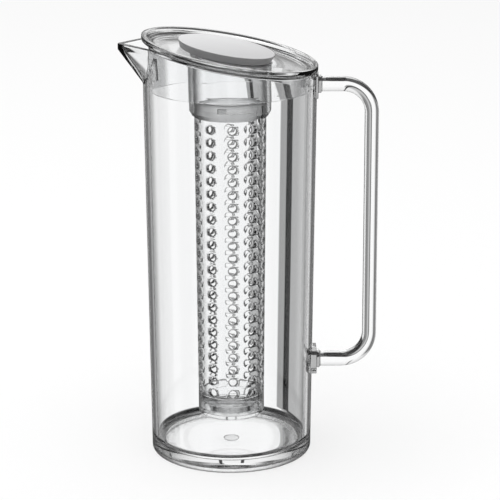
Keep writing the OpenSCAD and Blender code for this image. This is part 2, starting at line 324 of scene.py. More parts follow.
@dataclass(frozen=True)
class ClearPlastic(Finish):
    """Clear moulded plastic, polished, with faint flow marks, soft hazy patches and painted shade
    edge on.

    Attributes:
        tint: what each surface lets through, as grey-blue colour.
        edge: what is left of the tint where the painted shade edge on is darkest.
        edge_from: how far from face on the painted shade starts, from 0 to 1.
        edge_to: where it is complete.
        glare: share of the reflection that is kept.
        index: refractive index.
        shade: what passes straight through towards lamps.
        haze: how much roughness the hazy patches add.
        patches: scale of the patches.
        hazy: noise where a patch starts, and where it is complete.
        flow: scale of the flow marks, and their scale upwards as a share of it.
        ripple: strength and height of the flow marks' relief.
    """

    tint: Triple = (0.985, 0.988, 0.99)
    edge: float = 0.30
    edge_from: float = 0.42
    edge_to: float = 1.0
    glare: float = 0.45
    index: float = 1.49
    shade: float = 0.93
    haze: float = 0.012
    patches: float = 34.0
    hazy: Pair = (0.5, 0.75)
    flow: Pair = (60.0, 0.12)
    ripple: Pair = (0.04, 0.0004)

    def roughness(self, spot: Spot) -> Value:
        """Roughness of the soft hazy patches."""
        return self.haze * spot.noise(self.patches, 3.0).ramp(*self.hazy)

    def painted_shade(self, spot: Spot, rim: Value) -> Value:
        """Painted shade, from 0 to 1: darker where the plastic is seen edge on."""
        return rim

    def surface(self, graph: Graph, spot: Spot) -> Value:
        """Glass for the eye, and see-through for soft light and the light of lamps.

        Args:
            graph: the material's tree.
            spot: the shaded point.

        Returns:
            The mixed shader.
        """
        # Painted shade: the tint darkens towards edge on, standing in for the dark edges that bent
        # light shows.
        painted_shade = self.painted_shade(spot, spot.facing.ramp(self.edge_from, self.edge_to))
        dark = [self.edge * part for part in self.tint]
        tones = {0: painted_shade, 6: (*self.tint, 1.0), 7: (*dark, 1.0)}
        scale, upwards = self.flow
        marks = spot.noise(scale, 1.0, (1.0, 1.0, upwards))
        glass = graph.value(
            "ShaderNodeBsdfPrincipled",
            None,
            {
                "Base Color": graph.value("ShaderNodeMix", {"data_type": "RGBA"}, tones, 2),
                "Specular Tint": (self.glare, self.glare, self.glare, 1.0),
                "Roughness": self.roughness(spot),
                "IOR": self.index,
                "Transmission Weight": 1.0,
                "Normal": graph.relief(marks, *self.ripple),
            },
        )
        pale = {"Color": (self.shade, self.shade, self.shade, 1.0)}
        straight = graph.value("ShaderNodeBsdfTransparent", None, pale)
        soft = graph.ray("Shadow").at_least(graph.ray("Diffuse"))
        return graph.value("ShaderNodeMixShader", None, {0: soft, 1: glass, 2: straight})


@dataclass(frozen=True)
class RimmedPlastic(ClearPlastic):
    """Clear plastic of the lid, with painted shade at its flange, its skirt and its neck's thick
    end.

    Attributes:
        rim_radius: radius outside which the flange has painted shade.
        rim_share: how dark the painted shade is there, from 0 to 1.
        spout_share: how dark it is there next to the spout.
        spout: x where the darkness next to the spout starts to fade, and where it ends.
        slope: radii between which the dish's slope gets painted shade next to the spout.
        slope_front: y between which that ends.
        slope_share: how dark that slope is.
        low_height: height under which the neck's end has painted shade.
        low_share: how dark it is there.
        plane: where the slanted plane under the dish crosses the axis.
        skirt: how far from face on the skirt's painted shade starts and ends, and how dark it gets.
        skirt_radius: radius outside which the wall is the skirt's.
    """

    edge: float = 0.22
    edge_from: float = 0.25
    edge_to: float = 0.55
    rim_radius: float = 0.0574
    rim_share: float = 0.1
    spout_share: float = 0.6
    spout: Pair = (-0.05, -0.03)
    slope: Pair = (0.05, 0.053)
    slope_front: Pair = (0.0, 0.02)
    slope_share: float = 0.45
    low_height: float = 0.2428
    low_share: float = 0.14
    plane: float = 0.2739
    skirt: Triple = (0.38, 0.44, 0.5)
    skirt_radius: float = 0.045

    def painted_shade(self, spot: Spot, rim: Value) -> Value:
        """Painted shade on the flange, the slope by the spout and the neck's end, and on walls edge
        on.

        Args:
            spot: the shaded point.
            rim: how far edge on it is seen.

        Returns:
            How dark the painted shade is, from 0 to 1.
        """
        x, y, z = spot.axes
        away, crossing, plane = spot.away, spot.crossing, self.plane
        # Painted shade: the flange, the dish's slope by the spout, the neck's low end and the skirt
        # are darkened.
        flange = away.beyond(self.rim_radius)
        flange = flange * x.ramp(*self.spout, self.spout_share, self.rim_share)
        slope = self.slope_share * away.ramp(*self.slope) * crossing.beyond(plane + SOFT_EDGE)
        slope = slope * x.ramp(*self.spout, 1.0, 0.0) * y.ramp(*self.slope_front, 1.0, 0.0)
        low = self.low_share * z.within(self.low_height)
        under = crossing.within(plane - SOFT_EDGE, 2 * SOFT_EDGE)
        start, end, share = self.skirt
        skirt = share * spot.facing.ramp(start, end)
        wall = rim.mixed(skirt, away.beyond(self.skirt_radius))
        return (wall * under).at_least(flange.at_least(low)).at_least(slope)


@dataclass(frozen=True)
class JugPlastic(ClearPlastic):
    """Clear plastic of the jug: painted shade on walls edge on, a painted dark line round the
    floor, a scuffed foot.

    Attributes:
        scuff_height: height under which the foot is scuffed.
        scuff_radius: radius outside which it is scuffed.
        scuff: roughness that the scuffs add.
        scuff_fade: width of the scuffs' soft edge towards the middle.
        scratches: scale of the scuffs, and their scale upwards as a share of it.
        scratched: noise where a scratch starts and is complete, and what the places between keep.
        corner: radii between which the floor's round corner has its painted dark line.
        corner_top: height where that ends.
        gate_radius: radius of the moulding gate under the floor.
        gate_share: how dark the painted shade on the gate's disc is, from 0 to 1.
        wall_start: heights between which the wall's painted shade edge on starts.
        wall_share: how dark it is there.
        high: heights between which that gets less.
        high_share: what is left of it above them.
        handle_side: x between which it gets less towards the handle.
        handle_share: what is left of it there.
        spout_start: x where the spout starts, which is clearer.
        spout_share: what is left of it there.
        foot_radius: radius outside which the foot's wall has painted shade edge on.
        foot_facing: how far from face on that starts, and where it is complete.
        foot_end: heights between which it ends.
        foot_share: how dark it is there.
        mouth: where the slanted plane just under the rim crosses the axis.
        pad_reach: the pads' half height, half width and least distance from the middle.
        pad_share: how dark the painted shade on the pads is.
    """

    edge: float = 0.12
    edge_from: float = 0.55
    scuff_height: float = 0.004
    scuff_radius: float = 0.036
    scuff: float = 0.4
    scuff_fade: float = 0.01
    scratches: Pair = (520.0, 3.0)
    scratched: Triple = (0.42, 0.62, 0.5)
    corner: Pair = (0.0455, 0.0517)
    corner_top: float = FLOOR_TOP + 0.0034
    gate_radius: float = 0.0052
    gate_share: float = 0.5
    wall_start: Pair = (0.011, 0.013)
    wall_share: float = 0.72
    high: Pair = (0.1, 0.2)
    high_share: float = 0.55
    handle_side: Pair = (0.0, 0.05)
    handle_share: float = 0.45
    spout_start: float = -0.059
    spout_share: float = 0.2
    foot_radius: float = 0.0506
    foot_facing: Pair = (0.15, 0.45)
    foot_end: Pair = (0.010, 0.013)
    foot_share: float = 0.95
    mouth: float = 0.2745
    pad_reach: Triple = (0.009, 0.0101, 0.0545)
    pad_share: float = 0.6

    def roughness(self, spot: Spot) -> Value:
        """Adds scratches where the foot rubs on a table.

        Args:
            spot: the shaded point.

        Returns:
            The roughness.
        """
        (scale, upwards), (start, end, least) = self.scratches, self.scratched
        marks = spot.noise(scale, 3.0, (1.0, 1.0, upwards)).ramp(start, end, least, 1.0)
        worn = spot.axes[2].ramp(0.7 * self.scuff_height, self.scuff_height, 1.0, 0.0)
        worn = worn * spot.away.beyond(self.scuff_radius, self.scuff_fade)
        return super().roughness(spot) + self.scuff * worn * marks

    def painted_shade(self, spot: Spot, rim: Value) -> Value:
        """Painted shade on walls edge on, the floor's corner, the gate's disc, the pads and the
        foot.

        Args:
            spot: the shaded point.
            rim: how far edge on it is seen.

        Returns:
            How dark the painted shade is, from 0 to 1.
        """
        x, y, z = spot.axes
        away = spot.away
        # Painted shade: the walls edge on, the pads, the floor's corner, the gate's disc and the
        # foot are darkened.
        wall = self.wall_share * z.ramp(*self.wall_start) * spot.crossing.within(self.mouth)
        wall = wall * z.ramp(*self.high, 1.0, self.high_share)
        wall = wall * x.ramp(*self.handle_side, 1.0, self.handle_share)
        wall = wall * x.ramp(self.spout_start - SOFT_EDGE, self.spout_start, self.spout_share, 1.0)
        tall, wide, least = self.pad_reach
        middle = sum(PAD_HEIGHTS) / 2.0
        offset = abs(abs(z - middle) - (PAD_HEIGHTS[0] - middle))
        pad = self.pad_share * offset.within(tall) * abs(y).within(wide) * x.beyond(least)
        inner, outer = self.corner
        ring = away.beyond(inner) * away.within(outer)
        ring = ring * z.beyond(FLOOR_TOP - SOFT_EDGE) * z.within(self.corner_top)
        gate = self.gate_share * away.within(self.gate_radius) * z.within(FLOOR_TOP / 2)
        foot = self.foot_share * spot.facing.ramp(*self.foot_facing)
        foot = foot * away.beyond(self.foot_radius) * z.ramp(*self.foot_end, 1.0, 0.0)
        return (rim * wall).at_least(ring.at_least(gate)).at_least(pad.at_least(foot))


@dataclass(frozen=True)
class CollaredPlastic(ClearPlastic):
    """Clear plastic with painted shade at the handle's glued roots.

    Attributes:
        root: distance from the jug's axis within which it has painted shade.
        root_share: how dark it is there, from 0 to 1.
    """

    edge: float = 0.25
    edge_from: float = 0.12
    haze: float = 0.02
    root: float = 0.0608
    root_share: float = 0.7

    def painted_shade(self, spot: Spot, rim: Value) -> Value:
        """Painted shade edge on, and within the roots' distance."""
        # Painted shade: darker edge on and at the handle's roots.
        return rim.at_least(self.root_share * spot.axes[0].within(self.root))


@dataclass(frozen=True)
class Holes:
    """The rows and columns of round holes in the tube.

    Attributes:
        start: bearing of the first column, in radians.
        columns: number of columns.
        rows: number of rows.
        pitch: from row to row.
        first_row: height of the lowest row.
    """

    start: float = -math.pi / 2 + math.radians(3.0)
    columns: int = 10
    rows: int = 22
    pitch: float = 0.00879
    first_row: float = 0.0455


@dataclass(frozen=True)
class DrilledPlastic(ClearPlastic):
    """Clear plastic of the tube: painted shade round its holes, on its lip and on its ground matt
    top band.

    Attributes:
        holes: the rows and columns of holes.
        radius: the tube's middle radius.
        hole: radius within which the painted shade is darkest.
        fade: width of the soft edge round it.
        hole_facing: how far from face on the painted dark rings start to fade, and where they are
            gone.
        reach: from the outer rows' middles, where the painted dark rings start to end and end.
        grip_height: height above which the surface is ground matt.
        grip: roughness that the matt band adds.
        band_share: how dark the band's painted shade is, from 0 to 1.
        lip_height: height above which the tube's thick lip has painted shade.
        lip_share: how dark the lip's painted shade is.
    """

    tint: Triple = (0.995, 0.997, 0.998)
    edge: float = 0.4
    edge_from: float = 0.4
    edge_to: float = 0.6
    haze: float = 0.02
    holes: Holes = Holes()
    radius: float = 0.0232
    hole: float = 0.0029
    fade: float = 0.0006
    hole_facing: Pair = (0.15, 0.35)
    reach: Pair = (0.0038, 0.0044)
    grip_height: float = 0.2369
    grip: float = 0.4
    band_share: float = 0.16
    lip_height: float = 0.2457
    lip_share: float = 0.6

    def roughness(self, spot: Spot) -> Value:
        """Adds the matt band's roughness to the patches'."""
        return super().roughness(spot) + self.grip * spot.axes[2].beyond(self.grip_height)

    def painted_shade(self, spot: Spot, rim: Value) -> Value:
        """Painted shade near a hole, on the band and on the lip.

        The distance from a hole is sqrt(across^2 + up^2) in the wall, where across is the radius
        times the bearing, wrapped from column to column, and up is the height, wrapped from row to
        row.

        Args:
            spot: the shaded point.
            rim: how far edge on it is seen.

        Returns:
            How dark the painted shade is, from 0 to 1.
        """
        x, y, z = spot.axes
        first, pitch = self.holes.first_row, self.holes.pitch
        last = first + (self.holes.rows - 1) * pitch
        turn = spot.graph.math("ARCTAN2", y, x) - self.holes.start
        across = self.radius * turn.wrapped(math.pi / self.holes.columns)
        up = (z - first).wrapped(pitch / 2)
        away = spot.graph.math("SQRT", across * across + up * up)
        # Painted shade: dark rings round the holes, and a darker band and lip at the top.
        near = away.within(self.hole, self.fade) * spot.facing.ramp(*self.hole_facing, 1.0, 0.0)
        start, end = self.reach
        near = near * z.ramp(first - end, first - start)
        near = near * z.ramp(last + start, last + end, 1.0, 0.0)
        band = self.band_share * z.beyond(self.grip_height)
        lip = self.lip_share * z.beyond(self.lip_height)
        return rim.at_least(near).at_least(band.at_least(lip))


@dataclass(frozen=True)
class SatinGrey(Finish):
    """Satin grey plastic of the cap, finely spark-eroded; painted shade on its undercut side,
    painted light on its top.

    Attributes:
        grey: colour of the top face.
        side: colour of the side, darkened as painted shade.
        upright: how far a face looks along the disc's axis where the painted shade ends and the top
            starts.
        painted_light_spread: painted light, how much paler the top is at the back left than the
            front right, halved.
        pale_way: x and y of the direction in which the painted light gets paler.
        pale_reach: distances along that direction between which it does.
        clouds: scale of the faint clouds, and how much they change the grey.
        grain: scale of the fine grain.
        relief: strength and height of the grain's relief.
        satin: least roughness, and how much the clouds add.
        index: refractive index.
        cool: how much bluer than grey the colour is.
    """

    grey: float = 0.64
    side: float = 0.23
    upright: Pair = (0.35, 0.8)
    painted_light_spread: float = 0.09
    pale_way: Pair = (-0.6, 0.8)
    pale_reach: Pair = (-0.022, 0.026)
    clouds: Pair = (55.0, 0.03)
    grain: float = 2600.0
    relief: Pair = (0.12, 0.0001)
    satin: Pair = (0.34, 0.1)
    index: float = 1.5
    cool: float = 1.01

    def surface(self, graph: Graph, spot: Spot) -> Value:
        """An opaque satin surface.

        Args:
            graph: the material's tree.
            spot: the shaded point.

        Returns:
            The Principled shader.
        """
        scale, change = self.clouds
        cloud = spot.noise(scale, 2.0)
        normal = graph.value("ShaderNodeNewGeometry", output="True Normal")
        upwards = (math.sin(SLANT), 0.0, math.cos(SLANT))
        # Painted shade: faces turned from the disc's axis take the darker side colour.
        top = graph.vector("DOT_PRODUCT", normal, upwards).ramp(*self.upright)
        # Painted light: the top is paler towards the back left and darker towards the front right.
        along = self.pale_way[0] * spot.axes[0] + self.pale_way[1] * spot.axes[1]
        paler = along.ramp(*self.pale_reach, -self.painted_light_spread, self.painted_light_spread)
        shade = self.side + (self.grey - self.side) * top + top * paler + change * (cloud - 0.5)
        sockets = {
            "Base Color": graph.colour(shade, shade, shade * self.cool),
            "Roughness": self.satin[0] + self.satin[1] * cloud,
            "IOR": self.index,
            "Normal": graph.relief(spot.noise(self.grain, 2.0), *self.relief),
        }
        return graph.value("ShaderNodeBsdfPrincipled", None, sockets)


@dataclass(frozen=True)
class PaleFloor(Finish):
    """A pale floor that keeps the object's shadow, and that clear surfaces see through.

    Attributes:
        grey: its colour.
        glow: how much it glows towards the camera, nearby and far away.
        fade: distances from the middle between which the glow rises.
    """

    grey: float = 0.86
    glow: Pair = (0.09, 0.42)
    fade: Pair = (1.9, 4.5)

    def surface(self, graph: Graph, spot: Spot) -> Value:
        """Matt with a glow for the camera, and see-through for clear and glossy surfaces.

        Args:
            graph: the material's tree.
            spot: the shaded point.

        Returns:
            The mixed shader.
        """
        pale = {"Color": (self.grey, self.grey, self.grey, 1.0)}
        matt = graph.value("ShaderNodeBsdfDiffuse", None, pale)
        away = graph.vector("LENGTH", spot.place)
        bright = graph.ray("Camera") * away.ramp(*self.fade, *self.glow)
        tone = graph.colour(bright, bright, bright)
        glow = graph.value("ShaderNodeEmission", None, {"Color": tone, "Strength": 1.0})
        lit = graph.value("ShaderNodeAddShader", None, {0: matt, 1: glow})
        clear = graph.ray("Glossy").at_least(graph.ray("Transmission"))
        straight = graph.value("ShaderNodeBsdfTransparent")
        return graph.value("ShaderNodeMixShader", None, {0: clear, 1: lit, 2: straight})


# ---- surfaces ----


def level(radius: Any, height: Any, turn: Array) -> Array:
    """Circles round the axis: x = r cos t, y = r sin t, z = height.

    Args:
        radius: one radius, or one for each bearing.
        height: one height, or one for each bearing.
        turn: the bearings, in radians from +X.

    Returns:
        One ring of points.
    """
    x, y = radius * np.cos(turn), radius * np.sin(turn)
    return np.stack([x, y, height + 0 * turn], -1)


def leaning(radius: Any, height: float, turn: Array) -> Array:
    """Where an upright cylinder meets the slanted plane: z = height - rise * x.

    Args:
        radius: the cylinder's radius, or one for each bearing.
        height: where the plane crosses the axis.
        turn: the bearings, in radians from +X.

    Returns:
        One ring of points.
    """
    return level(radius, height - RISE * radius * np.cos(turn), turn)


def tilted(radius: float, lift: float, turn: Array, foot: Sequence[float]) -> Array:
    """A true circle on the slanted plane, lifted along the plane's own normal.

    Args:
        radius: the circle's radius.
        lift: distance from the plane, along its normal.
        turn: the bearings, in radians from +X.
        foot: the point of the plane that the circle is centred over.

    Returns:
        One ring of points.
    """
    along, across = radius * np.cos(turn), radius * np.sin(turn)
    x = foot[0] + along * math.cos(SLANT) + lift * math.sin(SLANT)
    z = foot[2] - along * math.sin(SLANT) + lift * math.cos(SLANT)
    return np.stack([x, foot[1] + across, z], -1)


def filleted(keys: Sequence[Array], sizes: Sequence[float], steps: int) -> Array:
    """Rounds the corners of a profile that is carried along a path.

    Each corner K with size d becomes the parabola (1-s)^2 A + 2 s (1-s) K + s^2 C, where A and C
    lie d from K towards its neighbours. A size of 0 keeps the ring, as at the ends of an open
    profile.

    Args:
        keys: rings in order, each shaped (points, 3).
        sizes: the size of each corner.
        steps: points on each rounded corner.

    Returns:
        The rings of the rounded profile, shaped (rings, points, 3).
    """
    rows = []
    s = np.linspace(0, 1, steps)[:, None, None]
    for index, (corner, size) in enumerate(zip(keys, sizes)):
        if size == 0:
            rows.append(corner[None])
            continue
        ends = []
        for other in (keys[index - 1], keys[(index + 1) % len(keys)]):
            gap = np.linalg.norm(other - corner, axis=-1, keepdims=True)
            share = np.minimum(size / np.maximum(gap, 1e-9), 0.49)
            ends.append(corner + (other - corner) * share)
        rows.append((1 - s) ** 2 * ends[0] + 2 * s * (1 - s) * corner + s**2 * ends[1])
    return np.concatenate(rows)


class Patchwork:
    """Grids of points that become one mesh object."""

    def __init__(self) -> None:
        """Starts with nothing."""
        self.points: list[Array] = []
        self.faces: list[Array] = []
        self.count = 0

    def grid(self, rows: Array, wrap_rows: bool = False, wrap_points: bool = True) -> "Patchwork":
        """Adds the surface through a grid of points, one quad for each cell.

        Args:
            rows: the grid, shaped (rows, points, 3).
            wrap_rows: whether the last row joins the first.
            wrap_points: whether each row closes on itself.

        Returns:
            The patchwork.
        """
        n, m = rows.shape[:2]
        i = np.arange(n if wrap_rows else n - 1)[:, None]
        j = np.arange(m if wrap_points else m - 1)[None, :]
        i2, j2 = (i + 1) % n, (j + 1) % m
        quads = np.stack([i * m + j, i * m + j2, i2 * m + j2, i2 * m + j], -1).reshape(-1, 4)
        self.points.append(rows.reshape(-1, 3))
        self.faces.append(quads + self.count)
        self.count += n * m
        return self

    def piece(self, name: str) -> bpy.types.Object:
        """Makes the mesh object, with seams and poles merged.

        Args:
            name: the piece's name.

        Returns:
            The object, at the origin.
        """
        mesh = bpy.data.meshes.new(name)
        points, faces = np.concatenate(self.points), np.concatenate(self.faces)
        mesh.vertices.add(len(points))
        mesh.vertices.foreach_set("co", points.astype(np.float32).ravel())
        mesh.loops.add(faces.size)
        mesh.loops.foreach_set("vertex_index", faces.astype(np.int32).ravel())
        mesh.polygons.add(len(faces))
        mesh.polygons.foreach_set("loop_start", np.arange(0, faces.size, 4, dtype=np.int32))
        mesh.update(calc_edges=True)
        smooth(mesh)
        piece = bpy.data.objects.new(name, mesh)
        bpy.context.scene.collection.objects.link(piece)
        return piece


def smooth(mesh: bpy.types.Mesh) -> None:
    """Merges doubles, turns the faces outwards and sets smooth shading with hard edges.

    Args:
        mesh: the mesh to finish.
    """
    work = bmesh.new()
    work.from_mesh(mesh)
    bmesh.ops.remove_doubles(work, verts=work.verts, dist=DOUBLES)
    bmesh.ops.dissolve_degenerate(work, dist=1e-7, edges=work.edges)
    bmesh.ops.recalc_face_normals(work, faces=work.faces)
    work.to_mesh(mesh)
    work.free()
    mesh.polygons.foreach_set("use_smooth", np.ones(len(mesh.polygons), bool))
    mesh.set_sharp_from_angle(angle=HARD_EDGE)
    mesh.update()


def combined(piece: bpy.types.Object, tools: Sequence[bpy.types.Object], how: Joining) -> None:
    """Cuts tools out of a piece, or fuses them to it, and removes the tools.

    Args:
        piece: the piece to change.
        tools: closed meshes.
        how: whether they are cut out or fused.
    """
    for tool in tools:
        modifier = piece.modifiers.new(tool.name, "BOOLEAN")
        modifier.operation, modifier.solver, modifier.object = how.value, "EXACT", tool
    graph = bpy.context.evaluated_depsgraph_get()
    made = bpy.data.meshes.new_from_object(piece.evaluated_get(graph))
    piece.modifiers.clear()
    old, piece.data = piece.data, made
    bpy.data.meshes.remove(old)
    for tool in tools:
        bpy.data.objects.remove(tool)
    smooth(piece.data)


def rounded_outline(
    width: Any, height: Any, corner: Any, arc: int = 9, inset: float = 0.0004
) -> Array:
    """Outline of a rectangle with round corners, in its own plane.

    Each corner is the arc c + r (cos a, sin a), with a point a little way along the flats before
    and after it, so that the flats stay flat in shading.

    Args:
        width: full width, or one for each section.
        height: full height, or one for each section.
        corner: corner radius, or one for each section.
        arc: points on each corner.
        inset: how far the points on the flats lie from the arc.

    Returns:
        Points shaped (sections, points, 2).
    """
    sizes = (np.atleast_1d(np.asarray(size, float))[:, None] for size in (width, height, corner))
    width, height, corner = sizes
    sides = []
    for quarter, (sx, sy) in enumerate(((1, 1), (-1, 1), (-1, -1), (1, -1))):
        start, end = quarter * math.pi / 2, (quarter + 1) * math.pi / 2
        a = start + np.linspace(0, math.pi / 2, arc)[None, :]
        x = sx * (width / 2 - corner) + corner * np.cos(a)
        y = sy * (height / 2 - corner) + corner * np.sin(a)
        x = np.hstack([x[:, :1] + inset * math.sin(start), x, x[:, -1:] - inset * math.sin(end)])
        y = np.hstack([y[:, :1] - inset * math.cos(start), y, y[:, -1:] + inset * math.cos(end)])
        sides.append(np.stack([x, y], -1))
    return np.concatenate(sides, 1)


def prism(
    name: str, outline: Array, depth: Pair, bearing: float, height: float, edge: float = 0.0
) -> bpy.types.Object:
    """A closed block that stands out from the axis: an outline carried along the bearing.

    Args:
        name: the object's name.
        outline: points (across, up) of one section.
        depth: distance from the axis where the block starts and ends.
        bearing: its bearing, in radians from +X.
        height: height of the outline's middle.
        edge: size of the rounded edge round the outer end.

    Returns:
        The block.
    """
    centre = outline.mean(0) + 0 * outline
    near, far = depth
    c, s = math.cos(bearing), math.sin(bearing)
    rings = [
        np.stack([r * c - p[:, 0] * s, r * s + p[:, 0] * c, height + p[:, 1]], -1)
        for r, p in ((near, centre), (near, outline), (far, outline), (far, centre))
    ]
    return Patchwork().grid(filleted(rings, (0, 0, edge, 0), 5)).piece(name)


def dress(
    piece: bpy.types.Object, finish: Finish, body: str, node: str
) -> bpy.types.Object:
    """Gives a piece its material and its place in the frame.

    Args:
        piece: the piece.
        finish: its finish.
        body: the CAD body that it rides on.
        node: the CAD node that it stands for.

    Returns:
        The piece.
    """
    piece.data.materials.clear()
    piece.data.materials.append(finish.build())
    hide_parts(node)
    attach(piece, body)
    LOG.info("%s: %d faces, stands for %s", piece.name, len(piece.data.polygons), node)
    return piece


# ---- the jug's pieces ----


@dataclass
class Jug:
    """The tapered body with its beak spout, thick floor and the two pads that carry the handle."""

    rim_height: float = 0.2768
    low_radius: float = 0.0548
    top_radius: float = 0.0582
    wall: float = 0.0034
    floor_corner: float = 0.006
    floor_flat: float = 0.012
    foot_corner: float = 0.003
    foot_inside: float = 0.0463
    hollow: float = 0.0016
    gate: Pair = (0.005, 0.0008)
    lip_height: float = 0.284521
    spout_reach: float = 0.0744
    nose_radius: float = 0.0024
    nose_height: float = 0.004
    side_height: float = 0.020
    keel_height: float = 0.0285
    root_radius: float = 0.024
    spout_wall: float = 0.0026
    blend: float = 0.0003
    rim_round: float = 0.0006
    rim_passes: int = 12
    pad_size: Triple = (0.0201, 0.0179, 0.0043)
    pad_sunk: float = 0.0011  # from the inner wall to where a pad's block starts
    pad_edge: float = 0.0004
    straight: Triple = (0.03, 0.14, 0.250)  # heights of the plain rows under the beak
    bearings: int = 480
    crowding: float = 2.4  # how much denser the bearings are at the spout
    upper_rows: int = 64
    finish: Finish = JugPlastic("clear_jug")

    def body_radius(self, height: Any) -> Any:
        """Radius of the tapered body: low + (top - low) * z / rim height."""
        return self.low_radius + (self.top_radius - self.low_radius) * height / self.rim_height

    def beak_radius(self, away: Array, height: Array, inset: float) -> Array:
        """Reach of the beak's level section, as seen from the axis.

        At each height the section is the hull of two circles: one round the axis, and one whose
        centre and radius run straight from the keel's root to the nose. Towards the spout the reach
        is that circle's, then the common tangent's, r = R / cos(f - a), then the first circle's.

        Args:
            away: angle from the spout's direction, in radians.
            height: height of each point.
            inset: how far the section is drawn in, for the inner wall.

        Returns:
            The reach of each point, 0 below the keel.
        """
        side = self.body_radius(self.lip_height - self.side_height) - self.wall / 2 - inset
        nose = max(self.nose_radius - inset, self.nose_radius / 3)
        foot = self.lip_height - self.keel_height + inset
        top = self.lip_height - self.nose_height + inset
        share = np.clip((height - foot) / (top - foot), 0, 1)
        reach = self.spout_reach - self.nose_radius - inset
        centre = (side - self.root_radius) * (1 - share) + reach * share
        radius = self.root_radius * (1 - share) + nose * share
        tangent = np.arccos(np.clip((side - radius) / centre, -1, 1))
        end = np.arctan2(radius * np.sin(tangent), centre + radius * np.cos(tangent))
        square = np.maximum(radius**2 - (centre * np.sin(away)) ** 2, 0)
        tip = centre * np.cos(away) + np.sqrt(square)
        straight = side / np.cos(np.clip(tangent - away, 0, 1.2))
        reach = np.where(away < end, tip, np.where(away < tangent, straight, side))
        return np.where(height < foot, 0.0, reach)

    def wall_radius(self, turn: Array, height: Array, inner: bool) -> Array:
        """Radius of the outer or inner wall, beak and body blended by a smooth maximum.

        The blend of a and b is (a + b + sqrt((a - b)^2 + k^2)) / 2, which rounds the crease.

        Args:
            turn: bearings, in radians from +X.
            height: heights.
            inner: whether it is the inner wall.

        Returns:
            The radius of each point.
        """
        away = np.abs(turn % FULL_TURN - math.pi)
        body = self.body_radius(height) - (self.wall if inner else 0.0)
        beak = self.beak_radius(away, height, self.spout_wall if inner else 0.0)
        joined = (body + beak + np.sqrt((body - beak) ** 2 + self.blend**2)) / 2
        return np.where(beak > body - 10 * self.blend, joined, body)

    def rim(self, turn: Array, inner: bool) -> tuple[Array, Array]:
        """Radius and height of the rim's edge, the slanted plane cut off level at the lip.

        Args:
            turn: bearings.
            inner: whether it is the inner edge.

        Returns:
            (radii, heights).
        """
        height = np.full_like(turn, self.rim_height)
        radius = self.wall_radius(turn, height, inner)
        for _ in range(self.rim_passes):
            slanted = self.rim_height - RISE * radius * np.cos(turn)
            height = 0.5 * height + 0.5 * np.minimum(slanted, self.lip_height)
            radius = self.wall_radius(turn, height, inner)
        return radius, height

    def upper_wall(self, turn: Array, inner: bool) -> Array:
        """Rows of one wall, from under the beak up to just under the rim.

        Args:
            turn: bearings.
            inner: whether it is the inner wall.

        Returns:
            The rows, shaped (rows, points, 3).
        """
        start = self.straight[-1]
        top = self.rim(turn, inner)[1] - 2.5 * self.rim_round
        height = start + (top - start) * np.linspace(0, 1, self.upper_rows)[:, None]
        turns = turn + 0 * height
        return level(self.wall_radius(turns, height, inner), height, turns)

    def build(self) -> bpy.types.Object:
        """Builds the body as one closed surface from the foot's middle round to the floor's middle.

        Returns:
            The dressed piece.
        """
        s = np.linspace(-1, 1, self.bearings, endpoint=False)
        turn = math.pi + math.pi * np.sinh(self.crowding * s) / math.sinh(self.crowding)
        heights = self.straight[:2]
        gate, gate_height = self.gate[0], self.hollow - self.gate[1]
        under = [(0.0, gate_height), (gate, gate_height), (gate + 0.0002, self.hollow)]
        under += [(self.foot_inside, self.hollow), (self.foot_inside + 0.0003, 0.0)]
        under += [(self.body_radius(z), z) for z in (0.0, *heights)]
        under_sizes = (0, 0.0003, 0.0003, 0.0006, 0.0005, self.foot_corner, 0, 0)
        outer, inner = self.upper_wall(turn, False), self.upper_wall(turn, True)[::-1]
        edges = [level(*self.rim(turn, side), turn) for side in (False, True)]
        rim = filleted([outer[-1], *edges, inner[0]], (0, self.rim_round, self.rim_round, 0), 6)
        floor = self.body_radius(FLOOR_TOP) - self.wall
        inside = [(self.body_radius(z) - self.wall, z) for z in heights[::-1]]
        inside += [(floor, FLOOR_TOP), (floor - self.floor_flat, FLOOR_TOP), (0.0, FLOOR_TOP)]
        rows = [
            filleted([level(*key, turn) for key in under], under_sizes, 8),
            outer,
            rim[1:-1],
            inner,
            filleted([level(*key, turn) for key in inside], (0, 0, self.floor_corner, 0, 0), 12),
        ]
        piece = Patchwork().grid(np.concatenate(rows)).piece("clear_jug_body")
        pads = []
        for number, height in enumerate(PAD_HEIGHTS):
            depth = (self.body_radius(height) - self.wall + self.pad_sunk, PAD_FACE)
            outline = rounded_outline(*self.pad_size)[0]
            pads.append(prism(f"pad_{number}", outline, depth, 0.0, height, self.pad_edge))
        combined(piece, pads, Joining.FUSE)
        return dress(piece, self.finish, "jug", "jug_body")


